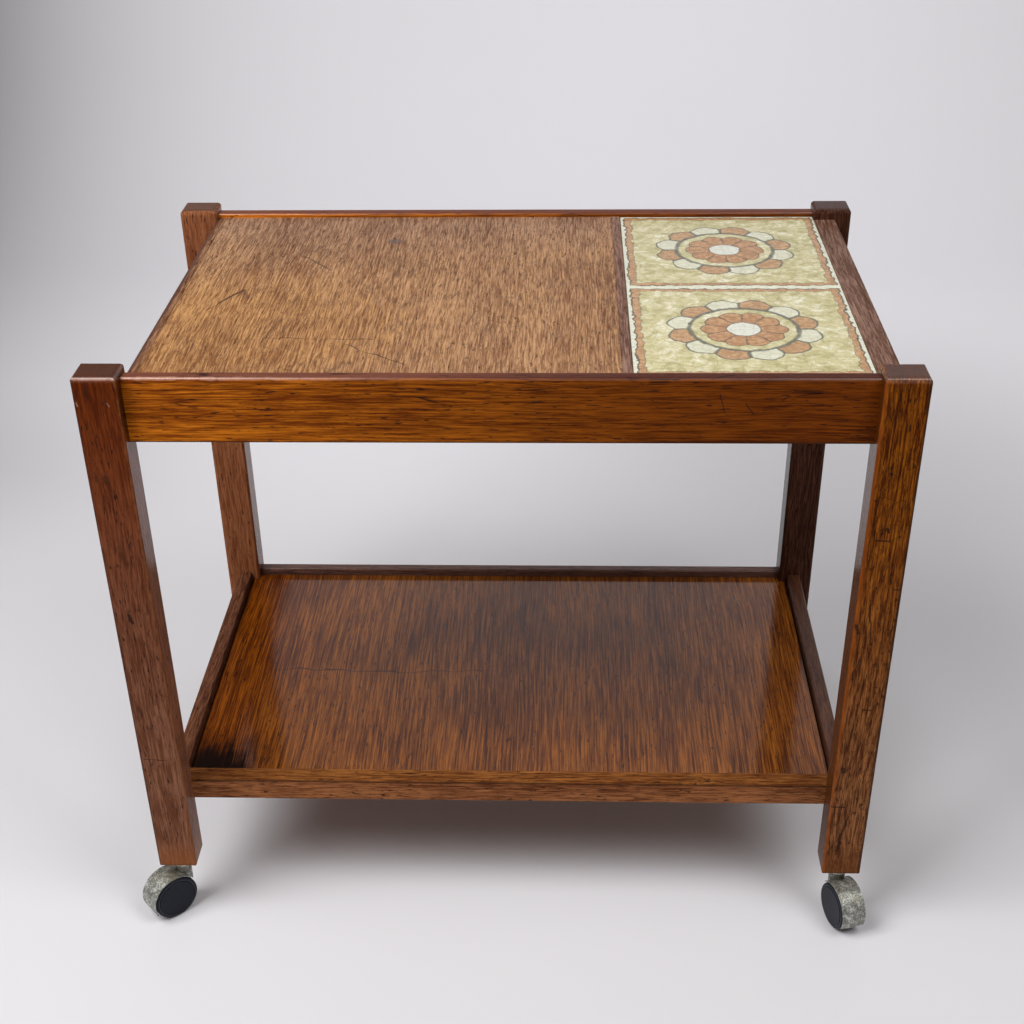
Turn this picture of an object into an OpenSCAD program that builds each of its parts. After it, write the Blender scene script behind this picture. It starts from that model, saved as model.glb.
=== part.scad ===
// Tea trolley with a tiled end: a wooden frame on four hooded twin-wheel casters.
// Millimetres. +X is to the right of a person at the front, +Y to the back, +Z up.
// The origin is on the floor, under the middle of the frame.

/* [Overall] */
// Width over the posts, left to right
width = 700; // [640:5:760]
// Height of the post tops above the floor
height = 596; // [540:2:660]

/* [Tiles] */
// Side of one square tile
tile = 200; // [180:1:208]
// Thickness of a tile
tile_t = 8; // [6:0.5:9]
// Width of every joint round a tile
tile_joint = 0.8; // [0.6:0.1:1.6]
// Rounding of a tile's glazed upper edge
tile_ease = 1; // [0.5:0.1:1.6]

/* [Posts] */
// Post size, left to right
post_w = 38; // [36:0.5:42]
// Post size, front to back
post_d = 32; // [31:0.5:36]
// Rounding of a post's long edges
post_ease = 3; // [1:0.1:4]
// Rounding of a post's top and bottom ends
post_end_ease = 5.5; // [2:0.1:5.5]

/* [Top frame] */
// Height of the front and back aprons
apron_h = 60; // [54:1:80]
// Thickness of the aprons
apron_t = 13; // [12:0.5:15]
// Rounding of the aprons' long edges
apron_ease = 2.8; // [1:0.1:3.5]
// How far the front apron is set back from the posts' front faces
front_set = 13.6; // [8:0.1:14.6]
// How far the back apron is set in from the posts' back faces
back_set = 8; // [6:0.1:12]
// How far the posts stand above the aprons
post_rise = 6.5; // [4:0.1:10]
// How far the top surface lies below the aprons' upper edges
top_drop = 4.5; // [2:0.1:8]
// Thickness of the veneered top panel
panel_t = 12; // [11.5:0.5:16]
// Thickness of the plywood board under the panel and the tiles
board_t = 10; // [8:0.5:12]
// Width of the edge strip on the left end of the top
edge_strip_w = 8.5; // [6:0.5:12]
// Width of the dark strip between the wood and the tiles
divider_w = 9; // [6:0.5:12]
// Thickness of the rail at the tiled end
end_rail_t = 22; // [18:0.5:24]
// Side of the square cleats that carry the board
cleat = 18; // [16:1:20]

/* [Shelf] */
// Height of the shelf's lips above the floor
shelf_h = 151.5; // [130:0.5:260]
// Height of the lips and of the end rails
lip_h = 24; // [22:0.5:32]
// How far the front lip is set back from the posts' front faces
front_lip_set = 28; // [26:0.5:29]
// Thickness of the front lip
front_lip_d = 19.5; // [19:0.5:22]
// How far the back lip is set in from the posts' back faces
back_lip_set = 11.5; // [8:0.5:12]
// Thickness of the back lip
back_lip_d = 12; // [11:0.5:14]
// Thickness of the shelf's end rails
shelf_rail_t = 15; // [13:0.5:16]
// How far the end rails are set in from the posts' outer faces
shelf_rail_set = 14; // [12:0.5:15]
// How far the shelf panel lies below the lips' upper edges
shelf_drop = 8.5; // [6:0.5:10]
// Thickness of the shelf panel
shelf_panel_t = 8; // [6:0.5:9]
// Gap between the shelf panel and the end rails
shelf_gap = 2.5; // [1:0.1:4]

/* [Casters] */
// Height of a caster, floor to post
caster_h = 60; // [59:0.5:66]
// Radius of a caster wheel
wheel_r = 23.5; // [22.5:0.5:24.5]
// Distance from the swivel axis to the wheels' axle
trail = 18; // [17:0.5:19]
// Width over both wheels of a caster
wheels_w = 26; // [25:0.2:28]
// Direction in which the front left caster trails at rest, from +X towards +Y
heading_left = 223; // [0:1:359]
// Direction in which the front right caster trails at rest
heading_right = 288; // [0:1:359]

/* [Hidden] */
$fn = 64;
cut = 1;            // how far a cutting solid runs past the face it opens

// The tiles set the depth: two tiles and three joints fill the space between the aprons.
depth = front_set + back_set + 2 * apron_t + 2 * tile + 3 * tile_joint;
half_w = width / 2;
half_d = depth / 2;
inner_x = half_w - post_w;              // the posts' inner faces
front_in_y = -half_d + post_d;          // the front posts' back faces
back_in_y = half_d - post_d;            // the back posts' front faces

// Heights in the top frame.
apron_top = height - post_rise;
apron_low = apron_top - apron_h;
top_z = apron_top - top_drop;
board_top = top_z - panel_t;
board_low = board_top - board_t;

// The aprons' faces, front to back.
front_apron_y = -half_d + front_set;
back_apron_y = half_d - back_set - apron_t;
bay_front = front_apron_y + apron_t;
bay_back = back_apron_y;

// Places along the top, right to left.
tile_x = inner_x - tile_joint / 2 - tile;
divider_x = tile_x - tile_joint / 2 - divider_w;
panel_x = -inner_x + edge_strip_w;
front_tile_y = bay_front + tile_joint;
back_tile_y = bay_back - tile_joint - tile;
cross_rail_t = apron_t;

// Tenons and dowels.
tenon_t = 7;
tenon_l = end_rail_t - tenon_t - 4;     // the aprons' tenons end short of the end rail's mortise
end_tenon_l = 14;
lip_tenon_l = post_w - shelf_rail_set - shelf_rail_t / 2 - 5;
stub_l = 5;                             // the cross rail's short tenons, into the aprons
root = 1;
shoulder = 10;                          // above and below a tenon in the top frame
lip_shoulder = 4;
tenon_set = 1;                          // the end rail's tenons, in from its outer face
dowel_r = 3;
dowel_in_lip = 10;
dowel_in_post = 14;
dowel_side = 6;                         // the front lip's dowels, in from the posts' inner faces
dowel_pitch = 10;

// Shelf levels and faces.
lip_low = shelf_h - lip_h;
shelf_z = shelf_h - shelf_drop;
shelf_low = shelf_z - shelf_panel_t;
lip_front = -half_d + front_lip_set;
lip_back = lip_front + front_lip_d;
back_lip_out = half_d - back_lip_set;
back_lip_in = back_lip_out - back_lip_d;
rail_out_x = half_w - shelf_rail_set;
rail_in_x = rail_out_x - shelf_rail_t;
ledger_d = 10;
fit_gap = 0.5;                          // between the shelf panel and the lips and posts

// Screws: countersunk wood screws, each stopping short of the face beyond.
screw_r = 1.8;
screw_head_r = 3.6;
screw_head_h = 2.4;
screw_point = 4;
screw_stop = 3;
screw_spread = 0.42;                    // share of the inner half width from one to the next
ledger_spread = 0.7;

// Under the top.
bearer_w = 18;
bearer_h = 30;
block_leg = 30;
block_gap = 1;                          // from the aprons' lower edge

// Casters.
socket_r = 6;                           // the sleeve inside the post
socket_depth = 40;
socket_flange_r = 10.5;
socket_flange_t = 1.4;
socket_end = 2;                         // closed end of the sleeve
stem_r = 4;
stem_clear = 0.08;                      // running fit of the stem in its socket
stem_top_gap = 4;                       // above the stem's head, in the sleeve
stem_neck = 1;                          // depth of the groove in the stem's head
collar_r = 9;
collar_t = 3;
collar_gap = 1.8;                       // between the turning collar and the fixed flange
collar_ease = 0.7;
wheel_clear = 1;                        // between a wheel's tread and the hood
hood_in_r = wheel_r + wheel_clear;
hood_wall = 1.4;
hood_in = 0.8;                          // the hood's edges, in from the wheels' outer faces
hood_half_w = wheels_w / 2 - hood_in;
hood_bead = 0.9;                        // width of the hood's rolled edge
hood_step = 0.3;                        // from the crown down to the rolled edge
hood_crown = 0.7;                       // rise of the hood's middle over its edges
web_half = 2.5;                         // half of the hood's middle web
wheel_side_clear = 0.7;                 // between a wheel's hub and the web
axle_r = 3;
axle_clear = 0.08;                      // running fit of a wheel on the axle
axle_hub_r = 8;
axle_gap = 0.5;                         // between the axle's end and the wheel's outer disc
wheel_hub_r = 7;
disc_t = 1.8;                           // a wheel's outer disc
tread_t = 3;
tyre_w = 3.2;                           // width of the tyre ring that shows round the cap
tyre_low = 0.5;                         // how far the tyre ring lies below the cap
tyre_ease = 1.8;                        // rounding of the tyre's shoulder
groove_w = 0.6;                         // groove between tyre and cap
groove_d = 0.7;
cap_ease = 0.4;
boss_r = 8;
boss_foot = 9;                          // the boss starts this far above the axle
collar_low = caster_h - socket_flange_t - collar_gap - collar_t;
stem_seat = 7;                          // the stem's seat in the hood's boss
hood_from = -222;                       // the hood's open sector, in degrees round the axle
hood_to = -24;

CORNERS = [[-1, -1, heading_left], [1, -1, heading_right],
           [-1, 1, heading_right + 180], [1, 1, heading_left + 180]];

WOOD = [0.42, 0.22, 0.12];
DARK_WOOD = [0.26, 0.14, 0.10];
VENEER = [0.62, 0.42, 0.24];
PLY = [0.72, 0.58, 0.40];
GLAZE = [0.82, 0.80, 0.62];
GROUT = [0.25, 0.22, 0.19];
STEEL = [0.66, 0.66, 0.62];
BLACK = [0.05, 0.05, 0.06];

// ---------- shapes ----------

// A rectangle about the origin with round corners.
module round_rect(w, h, r) {
    square([w - 2 * r, h], center = true);
    square([w, h - 2 * r], center = true);
    for (x = [-1, 1], y = [-1, 1])
        translate([x * (w / 2 - r), y * (h / 2 - r)])
            circle(r = r);
}

// A box given by its low and high corners.
module box(lo, hi) {
    translate(lo)
        cube(hi - lo);
}

// A bar along X given by its corners, with its four long edges eased.
module bar_x(lo, hi, r) {
    s = hi - lo;
    translate([lo.x, (lo.y + hi.y) / 2, (lo.z + hi.z) / 2])
        rotate([90, 0, 90])
            linear_extrude(s.x)
                round_rect(s.y, s.z, r);
}

// The same along Y.
module bar_y(lo, hi, r) {
    s = hi - lo;
    translate([(lo.x + hi.x) / 2, hi.y, (lo.z + hi.z) / 2])
        rotate([90, 0, 0])
            linear_extrude(s.y)
                round_rect(s.x, s.z, r);
}

// A wood screw pointing up, its head's face at z = 0.
module screw(length) {
    rotate_extrude()
        polygon([[0, 0], [screw_head_r, 0], [screw_r, screw_head_h],
                 [screw_r, length - screw_point], [0, length]]);
}

// A dowel along Y from y0 to y1.
module dowel(x, y0, y1, z) {
    translate([x, y1, z])
        rotate([90, 0, 0])
            cylinder(r = dowel_r, h = y1 - y0);
}

// ---------- joinery shared by a piece and the piece that it enters ----------

// Each tenon starts inside its own piece by root, so that it is one solid with it
// and the same shape opens the mortise's mouth.

module apron_tenons(y) {
    for (x = [-inner_x - tenon_l, inner_x - root])
        box([x, y + (apron_t - tenon_t) / 2, apron_low + shoulder],
            [x + tenon_l + root, y + (apron_t + tenon_t) / 2, apron_top - shoulder]);
}

module end_rail_tenons() {
    x = inner_x + end_rail_t - tenon_set - tenon_t;
    for (y = [front_in_y - end_tenon_l, back_in_y - root])
        box([x, y, apron_low + shoulder], [x + tenon_t, y + end_tenon_l + root, top_z - shoulder]);
}

module cross_rail_stubs() {
    x = -inner_x + (cross_rail_t - tenon_t) / 2;
    for (y = [bay_front - stub_l, bay_back - root])
        box([x, y, apron_low + shoulder], [x + tenon_t, y + stub_l + root, board_low - shoulder]);
}

module back_lip_tenons() {
    y = back_lip_in + (back_lip_d - tenon_t) / 2;
    for (x = [-inner_x - lip_tenon_l, inner_x - root])
        box([x, y, lip_low + lip_shoulder],
            [x + lip_tenon_l + root, y + tenon_t, shelf_h - lip_shoulder]);
}

module all_dowels() {
    for (s = [-1, 1], t = [-1, 1]) {
        z = shelf_h - lip_h / 2 + t * dowel_pitch / 2;
        // the front lip on the front posts' back faces
        dowel(s * (inner_x + dowel_side), front_in_y - dowel_in_post, front_in_y + dowel_in_lip, z);
        // the end rails on the front lip
        dowel(s * (rail_out_x - shelf_rail_t / 2), lip_back - dowel_in_lip, lip_back + dowel_in_post, z);
        // the end rails on the back posts
        dowel(s * (rail_out_x - shelf_rail_t / 2), back_in_y - dowel_in_post, back_in_y + dowel_in_post, z);
    }
}

module all_board_screws() {
    for (k = [-2 : 2])
        for (y = [bay_front + cleat / 2, bay_back - cleat / 2])
            translate([k * inner_x * screw_spread, y, board_low - cleat])
                screw(cleat + board_t - screw_stop);
}

module all_cleat_screws() {
    for (k = [-1.5 : 1 : 1.5]) {
        translate([k * inner_x * screw_spread, bay_front + cleat, board_low - cleat / 2])
            rotate([90, 0, 0])
                screw(cleat + apron_t - screw_stop);
        translate([k * inner_x * screw_spread, bay_back - cleat, board_low - cleat / 2])
            rotate([-90, 0, 0])
                screw(cleat + apron_t - screw_stop);
    }
}

module all_ledger_screws() {
    z = (lip_low + shelf_low) / 2;
    for (k = [-1 : 1]) {
        translate([k * inner_x * ledger_spread, lip_back + ledger_d, z])
            rotate([90, 0, 0])
                screw(ledger_d + back_lip_d - screw_stop);
        translate([k * inner_x * ledger_spread, back_lip_in - ledger_d, z])
            rotate([-90, 0, 0])
                screw(ledger_d + back_lip_d - screw_stop);
    }
}

// ---------- posts ----------

module post_blank(s) {
    h = height - caster_h;
    translate([s.x * (half_w - post_w / 2), s.y * (half_d - post_d / 2), caster_h + h / 2])
        intersection() {
            linear_extrude(h, center = true)
                round_rect(post_w, post_d, post_ease);
            rotate([90, 0, 0])
                linear_extrude(post_d, center = true)
                    round_rect(post_w, h, post_end_ease);
            rotate([90, 0, 90])
                linear_extrude(post_w, center = true)
                    round_rect(post_d, h, post_end_ease);
        }
}

module post(corner) {
    s = CORNERS[corner];
    color(WOOD)
        difference() {
            post_blank(s);
            apron_tenons(s.y < 0 ? front_apron_y : back_apron_y);
            end_rail_tenons();
            back_lip_tenons();
            all_dowels();
            at_post(corner)
                translate([0, 0, caster_h - cut])
                    cylinder(r = socket_r, h = socket_depth + cut);
        }
}

// ---------- top frame ----------

module front_apron() {
    color(WOOD)
        difference() {
            union() {
                bar_x([-inner_x, front_apron_y, apron_low], [inner_x, bay_front, apron_top], apron_ease);
                apron_tenons(front_apron_y);
            }
            cross_rail_stubs();
            all_cleat_screws();
        }
}

module back_apron() {
    color(WOOD)
        difference() {
            union() {
                bar_x([-inner_x, bay_back, apron_low], [inner_x, bay_back + apron_t, apron_top],
                      apron_ease);
                apron_tenons(back_apron_y);
            }
            cross_rail_stubs();
            all_cleat_screws();
        }
}

// The left end's rail stands between the aprons, under the board.
module left_cross_rail() {
    color(WOOD) {
        box([-inner_x, bay_front, apron_low], [-inner_x + cross_rail_t, bay_back, board_low]);
        cross_rail_stubs();
    }
}

// The tiled end's rail stands between the posts, level with the tiles.
module right_end_rail() {
    color(DARK_WOOD) {
        bar_y([inner_x, front_in_y, apron_low], [inner_x + end_rail_t, back_in_y, top_z], 1.4);
        end_rail_tenons();
    }
}

module edge_strip() {
    color(WOOD)
        bar_y([-inner_x, bay_front, board_low], [panel_x, bay_back, top_z], 1);
}

module top_panel() {
    color(VENEER)
        box([panel_x, bay_front, board_top], [divider_x, bay_back, top_z]);
}

module divider_strip() {
    color(DARK_WOOD)
        bar_y([divider_x, bay_front, board_top], [divider_x + divider_w, bay_back, top_z + 0.3], 0.8);
}

// ---------- tiles ----------

module tile_blank(y) {
    translate([tile_x + tile / 2, y + tile / 2, 0])
        intersection() {
            translate([0, 0, top_z - tile_t])
                linear_extrude(tile_t)
                    round_rect(tile, tile, tile_ease);
            translate([0, 0, top_z - tile_t])
                rotate([90, 0, 0])
                    linear_extrude(tile, center = true)
                        round_rect(tile, 2 * tile_t, tile_ease);
            translate([0, 0, top_z - tile_t])
                rotate([90, 0, 90])
                    linear_extrude(tile, center = true)
                        round_rect(tile, 2 * tile_t, tile_ease);
        }
}

module tile_front() {
    color(GLAZE)
        tile_blank(front_tile_y);
}

module tile_back() {
    color(GLAZE)
        tile_blank(back_tile_y);
}

// The bed of cement carries the tiles, and the joints between them are filled from it.
module tile_bed() {
    color(GROUT)
        difference() {
            box([divider_x + divider_w, bay_front, board_top], [inner_x, bay_back, top_z - 1.2]);
            for (y = [front_tile_y, back_tile_y])
                box([tile_x, y, top_z - tile_t], [tile_x + tile, y + tile, top_z]);
        }
}

// ---------- under the top ----------

module base_board() {
    color(PLY)
        difference() {
            box([panel_x, bay_front, board_low], [inner_x, bay_back, board_top]);
            all_board_screws();
        }
}

module cleat_bar(y) {
    color(PLY)
        difference() {
            box([-inner_x + cross_rail_t, y, board_low - cleat], [inner_x, y + cleat, board_low]);
            all_board_screws();
            all_cleat_screws();
        }
}

module front_cleat() {
    cleat_bar(bay_front);
}

module back_cleat() {
    cleat_bar(bay_back - cleat);
}

module middle_bearer() {
    x = divider_x + divider_w / 2;
    color(PLY)
        box([x - bearer_w / 2, bay_front + cleat, board_low - bearer_h],
            [x + bearer_w / 2, bay_back - cleat, board_low]);
}

// Glued blocks that brace the frame's four inner corners, below the cleats.
module corner_blocks() {
    color(PLY)
        for (sx = [-1, 1], sy = [-1, 1]) {
            x = sx < 0 ? -inner_x + cross_rail_t : inner_x;
            y = sy < 0 ? bay_front : bay_back;
            translate([x, y, apron_low + block_gap])
                linear_extrude(board_low - cleat - apron_low - block_gap)
                    polygon([[0, 0], [-sx * block_leg, 0], [0, -sy * block_leg]]);
        }
}

module board_screws() {
    color(STEEL)
        all_board_screws();
}

module cleat_screws() {
    color(STEEL)
        all_cleat_screws();
}

// ---------- shelf ----------

module shelf_panel() {
    color(VENEER)
        difference() {
            box([-rail_in_x + shelf_gap, lip_back + fit_gap, shelf_low],
                [rail_in_x - shelf_gap, back_lip_in - fit_gap, shelf_z]);
            for (s = [-1, 1])
                box([s < 0 ? -half_w : inner_x - fit_gap, back_in_y - fit_gap, shelf_low - cut],
                    [s < 0 ? -inner_x + fit_gap : half_w, half_d, shelf_z + cut]);
        }
}

// The front lip is notched round the front posts and runs behind them to the end rails' outer faces.
module shelf_front_lip() {
    color(WOOD)
        difference() {
            bar_x([-rail_out_x, lip_front, lip_low], [rail_out_x, lip_back, shelf_h], 2);
            for (s = [-1, 1])
                box([s < 0 ? -half_w : inner_x, -half_d, lip_low - cut],
                    [s < 0 ? -inner_x : half_w, front_in_y, shelf_h + cut]);
            all_dowels();
            all_ledger_screws();
        }
}

module shelf_back_lip() {
    color(WOOD)
        difference() {
            union() {
                bar_x([-inner_x, back_lip_in, lip_low], [inner_x, back_lip_out, shelf_h], 2);
                back_lip_tenons();
            }
            all_ledger_screws();
        }
}

module shelf_rail(x) {
    color(WOOD)
        difference() {
            bar_y([x, lip_back, lip_low], [x + shelf_rail_t, back_in_y, shelf_h], 2);
            all_dowels();
        }
}

module shelf_left_rail() {
    shelf_rail(-rail_out_x);
}

module shelf_right_rail() {
    shelf_rail(rail_in_x);
}

// Strips glued and screwed inside the shelf's frame, on which its panel lies.
module shelf_ledgers() {
    end_d = rail_in_x - inner_x + ledger_d / 2;
    long_x = rail_in_x - end_d - fit_gap;
    color(PLY)
        difference() {
            union() {
                for (y = [lip_back, back_lip_in - ledger_d])
                    box([-long_x, y, lip_low + 1], [long_x, y + ledger_d, shelf_low]);
                for (x = [-rail_in_x, rail_in_x - end_d])
                    box([x, lip_back, lip_low + 1], [x + end_d, back_in_y, shelf_low]);
            }
            all_ledger_screws();
        }
}

module ledger_screws() {
    color(STEEL)
        all_ledger_screws();
}

module shelf_dowels() {
    color(PLY)
        all_dowels();
}

// ---------- casters, each drawn with its swivel axis at the origin and trailing along +X ----------

module at_post(corner) {
    s = CORNERS[corner];
    translate([s.x * (half_w - post_w / 2), s.y * (half_d - post_d / 2), 0])
        rotate([0, 0, s.z])
            children();
}

module at_axle() {
    translate([trail, 0, wheel_r])
        rotate([90, 0, 0])
            children();
}

// A closed sleeve pressed into the post, with a flange under the post's end.
module caster_socket() {
    color(STEEL)
        translate([0, 0, caster_h])
            difference() {
                union() {
                    translate([0, 0, -socket_flange_t])
                        cylinder(r1 = socket_flange_r - collar_ease, r2 = socket_flange_r,
                                 h = socket_flange_t);
                    cylinder(r = socket_r, h = socket_depth);
                }
                translate([0, 0, -socket_flange_t - cut])
                    cylinder(r = stem_r + stem_clear, h = socket_flange_t + cut + socket_depth - socket_end);
            }
}

// The stem: a seat in the hood's boss, a collar, the turned shank and a grooved, rounded head.
module caster_stem() {
    low = collar_low - stem_seat;
    collar_top = collar_low + collar_t;
    top = caster_h + socket_depth - stem_top_gap;
    color(STEEL)
        rotate_extrude()
            polygon([[0, low], [stem_r, low], [stem_r, collar_low],
                     [collar_r - collar_ease, collar_low], [collar_r, collar_low + collar_ease],
                     [collar_r, collar_top - collar_ease], [collar_r - collar_ease, collar_top],
                     [stem_r, collar_top], [stem_r, top - 9 * stem_neck],
                     [stem_r - stem_neck, top - 8 * stem_neck], [stem_r - stem_neck, top - 6 * stem_neck],
                     [stem_r, top - 5 * stem_neck], [stem_r, top - 1.5 * stem_neck],
                     [stem_r - 1.5 * stem_neck, top], [0, top]]);
}

// The hood's section: a low crown between two rolled edges.
module hood_section() {
    steps = 6;
    edge = hood_half_w;
    out_r = hood_in_r + hood_wall;
    bead_r = out_r - hood_step;
    polygon(concat(
        [[hood_in_r, -edge], [bead_r, -edge], [bead_r, -edge + hood_bead]],
        [for (i = [-steps : steps])
            [out_r - hood_crown * pow(i / steps, 2), i / steps * (edge - 1.4 * hood_bead)]],
        [[bead_r, edge - hood_bead], [bead_r, edge], [hood_in_r, edge]]));
}

// The part of the drum that stays open, below the wheels' axle.
module hood_opening() {
    far = 2 * hood_in_r;
    linear_extrude(2 * wheels_w, center = true)
        polygon(concat([[0, 0]],
            [for (i = [0 : 3])
                far * [cos(hood_from + (hood_to - hood_from) * i / 3),
                       sin(hood_from + (hood_to - hood_from) * i / 3)]]));
}

// The hood: band, middle web with the axle's hub, and the boss that takes the stem.
module caster_hood() {
    color(STEEL)
        difference() {
            union() {
                at_axle()
                    difference() {
                        union() {
                            rotate_extrude()
                                hood_section();
                            cylinder(r = hood_in_r + hood_wall / 3, h = 2 * web_half, center = true);
                        }
                        hood_opening();
                    }
                at_axle()
                    cylinder(r = axle_hub_r, h = 2 * web_half, center = true);
                difference() {
                    translate([0, 0, wheel_r + boss_foot])
                        cylinder(r = boss_r, h = collar_low - wheel_r - boss_foot);
                    at_axle()
                        cylinder(r = hood_in_r, h = 2 * wheels_w, center = true);
                }
            }
            translate([0, 0, collar_low - stem_seat])
                cylinder(r = stem_r, h = stem_seat + cut);
            at_axle()
                cylinder(r = axle_r, h = 2 * wheels_w, center = true);
        }
}

module caster_axle() {
    reach = wheels_w / 2 - disc_t - axle_gap;
    color(STEEL)
        at_axle()
            cylinder(r = axle_r, h = 2 * reach, center = true);
}

// A moulded wheel: hub, capped outer disc inside the tyre ring, and a tread open on its inner side.
module caster_wheel(side) {
    w0 = web_half + wheel_side_clear;
    w1 = wheels_w / 2;
    disc = w1 - disc_t;
    bore_r = axle_r + axle_clear;
    tyre_w1 = w1 - tyre_low;
    groove_r = wheel_r - tyre_w;
    cap_r = groove_r - groove_w;
    color(BLACK)
        at_axle()
            rotate([side < 0 ? 180 : 0, 0, 0])
                rotate_extrude()
                    polygon([[0, disc], [bore_r, disc], [bore_r, w0], [wheel_hub_r, w0], [wheel_hub_r, disc],
                             [wheel_r - tread_t - 1, disc], [wheel_r - tread_t, w0],
                             [wheel_r - tyre_ease / 2, w0], [wheel_r, w0 + tyre_ease / 2],
                             [wheel_r, tyre_w1 - tyre_ease],
                             [wheel_r - tyre_ease * 0.13, tyre_w1 - tyre_ease * 0.5],
                             [wheel_r - tyre_ease * 0.5, tyre_w1 - tyre_ease * 0.13],
                             [wheel_r - tyre_ease, tyre_w1], [groove_r, tyre_w1],
                             [groove_r, tyre_w1 - groove_d], [cap_r, tyre_w1 - groove_d],
                             [cap_r, w1 - cap_ease], [cap_r - cap_ease, w1], [0, w1]]);
}

// ---------- nodes ----------

post(0);  // post_front_left
post(1);  // post_front_right
post(2);  // post_back_left
post(3);  // post_back_right
front_apron();
back_apron();
left_cross_rail();
right_end_rail();
edge_strip();
top_panel();
divider_strip();
tile_back();
tile_front();
tile_bed();
base_board();
front_cleat();
back_cleat();
middle_bearer();
corner_blocks();
board_screws();
cleat_screws();
shelf_panel();
shelf_front_lip();
shelf_back_lip();
shelf_left_rail();
shelf_right_rail();
shelf_ledgers();
ledger_screws();
shelf_dowels();
at_post(0) caster_socket();  // socket_front_left
at_post(1) caster_socket();  // socket_front_right
at_post(2) caster_socket();  // socket_back_left
at_post(3) caster_socket();  // socket_back_right
at_post(0) caster_stem();  // stem_front_left
at_post(1) caster_stem();  // stem_front_right
at_post(2) caster_stem();  // stem_back_left
at_post(3) caster_stem();  // stem_back_right
at_post(0) caster_hood();  // hood_front_left
at_post(1) caster_hood();  // hood_front_right
at_post(2) caster_hood();  // hood_back_left
at_post(3) caster_hood();  // hood_back_right
at_post(0) caster_axle();  // axle_front_left
at_post(1) caster_axle();  // axle_front_right
at_post(2) caster_axle();  // axle_back_left
at_post(3) caster_axle();  // axle_back_right
at_post(0) caster_wheel(1);  // wheel_a_front_left
at_post(1) caster_wheel(1);  // wheel_a_front_right
at_post(2) caster_wheel(1);  // wheel_a_back_left
at_post(3) caster_wheel(1);  // wheel_a_back_right
at_post(0) caster_wheel(-1);  // wheel_b_front_left
at_post(1) caster_wheel(-1);  // wheel_b_front_right
at_post(2) caster_wheel(-1);  // wheel_b_back_left
at_post(3) caster_wheel(-1);  // wheel_b_back_right
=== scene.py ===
# %% [markdown]
# # A tea trolley with a tiled end
#
# The trolley is a low table on casters. Four posts carry a tray-like top, with two glazed
# tiles at its right end, and a shelf just above the wheels. The construction comes in
# finished, as named parts in metres, so this script makes what a finisher would: the
# stained and lacquered woods, the glaze, the galvanised and moulded caster parts, and the
# studio in which the trolley is shown.
#
# The wood could be unwrapped and painted. Here every finish is computed from the place in
# the part instead, because a board's grain runs through its whole thickness, and so edges
# and ends match their faces without any seam.

# %% Load the construction
import math

import bpy
from mathutils import Matrix, Vector


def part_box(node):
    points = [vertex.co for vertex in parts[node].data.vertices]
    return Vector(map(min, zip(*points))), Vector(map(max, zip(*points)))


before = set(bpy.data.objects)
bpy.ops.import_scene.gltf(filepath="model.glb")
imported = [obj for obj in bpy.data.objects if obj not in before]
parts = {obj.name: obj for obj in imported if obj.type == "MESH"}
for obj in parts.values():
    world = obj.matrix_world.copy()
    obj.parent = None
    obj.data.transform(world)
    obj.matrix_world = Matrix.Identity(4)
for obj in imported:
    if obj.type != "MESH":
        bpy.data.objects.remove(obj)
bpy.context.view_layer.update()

# %% [markdown]
# ## The camera
#
# The trolley is seen from a little over a metre up, from the front and just right of the
# middle, looking down by 33 degrees, through a short telephoto lens. A camera could be
# aimed by making it track an empty, but three turns, one about each axis, also hold its
# slight roll. The frame is shifted up by about a twelfth of its width, as on a view camera,
# so the posts draw together towards the floor a little more than without it.

# %% Place the camera
eye = Vector((0.0539, -1.3433, 1.1030))
turn_left, look_down, roll = (math.radians(a) for a in (2.289, 32.76, 0.887))
stance = (Matrix.Rotation(turn_left, 4, "Z") @ Matrix.Rotation(-look_down, 4, "X")
          @ Matrix.Rotation(roll, 4, "Y") @ Matrix.Rotation(math.radians(90), 4, "X"))
lens = bpy.data.cameras.new("camera")
lens.sensor_width, lens.lens, lens.shift_y = 36, 52.97, 0.086
camera = bpy.data.objects.new("camera", lens)
camera.matrix_world = Matrix.Translation(eye) @ stance
bpy.context.scene.collection.objects.link(camera)
bpy.context.scene.camera = camera
bpy.context.scene.view_settings.view_transform = "Standard"
print("camera at", [round(v, 3) for v in eye])

# %% [markdown]
# ## The sweep
#
# The object stands on a pale paper sweep: a floor that curves up into the backdrop, so that
# no horizon shows. It could be a plane with a bevelled fold. One profile of points, drawn
# out sideways, makes the whole sheet at once, and its bend is a true arc.

# %% Make the sweep
def sweep_profile(depth_front=4.0, bend_at=1.6, bend=1.3, top=3.6, steps=24):
    """Points (y, z) of the sheet from its front edge to its top."""
    arc = [(bend_at + bend * math.sin(t), bend * (1 - math.cos(t)))
           for t in (math.pi / 2 * i / steps for i in range(steps + 1))]
    return [(-depth_front, 0.0), *arc, (bend_at + bend, top)]


def make_sweep(half_width=4.0):
    line = sweep_profile()
    points = [(x, y, z) for y, z in line for x in (-half_width, half_width)]
    faces = [(2 * i, 2 * i + 1, 2 * i + 3, 2 * i + 2) for i in range(len(line) - 1)]
    mesh = bpy.data.meshes.new("sweep")
    mesh.from_pydata(points, [], faces)
    mesh.shade_smooth()
    sheet = bpy.data.objects.new("sweep", mesh)
    bpy.context.scene.collection.objects.link(sheet)
    return sheet


sweep = make_sweep()
print("sweep faces:", len(sweep.data.polygons))

# %% [markdown]
# ## The lamps
#
# A large softbox above, in front and to the left gives the main light, and a weaker one
# fills from the right: the shelf's shadow has a soft edge from each of them, and a dark
# core where neither reaches. A third is turned away from the trolley and lights only the
# backdrop. Small lamps would be simpler, but they would draw hard shadows and hot spots on
# the lacquer.

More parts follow.
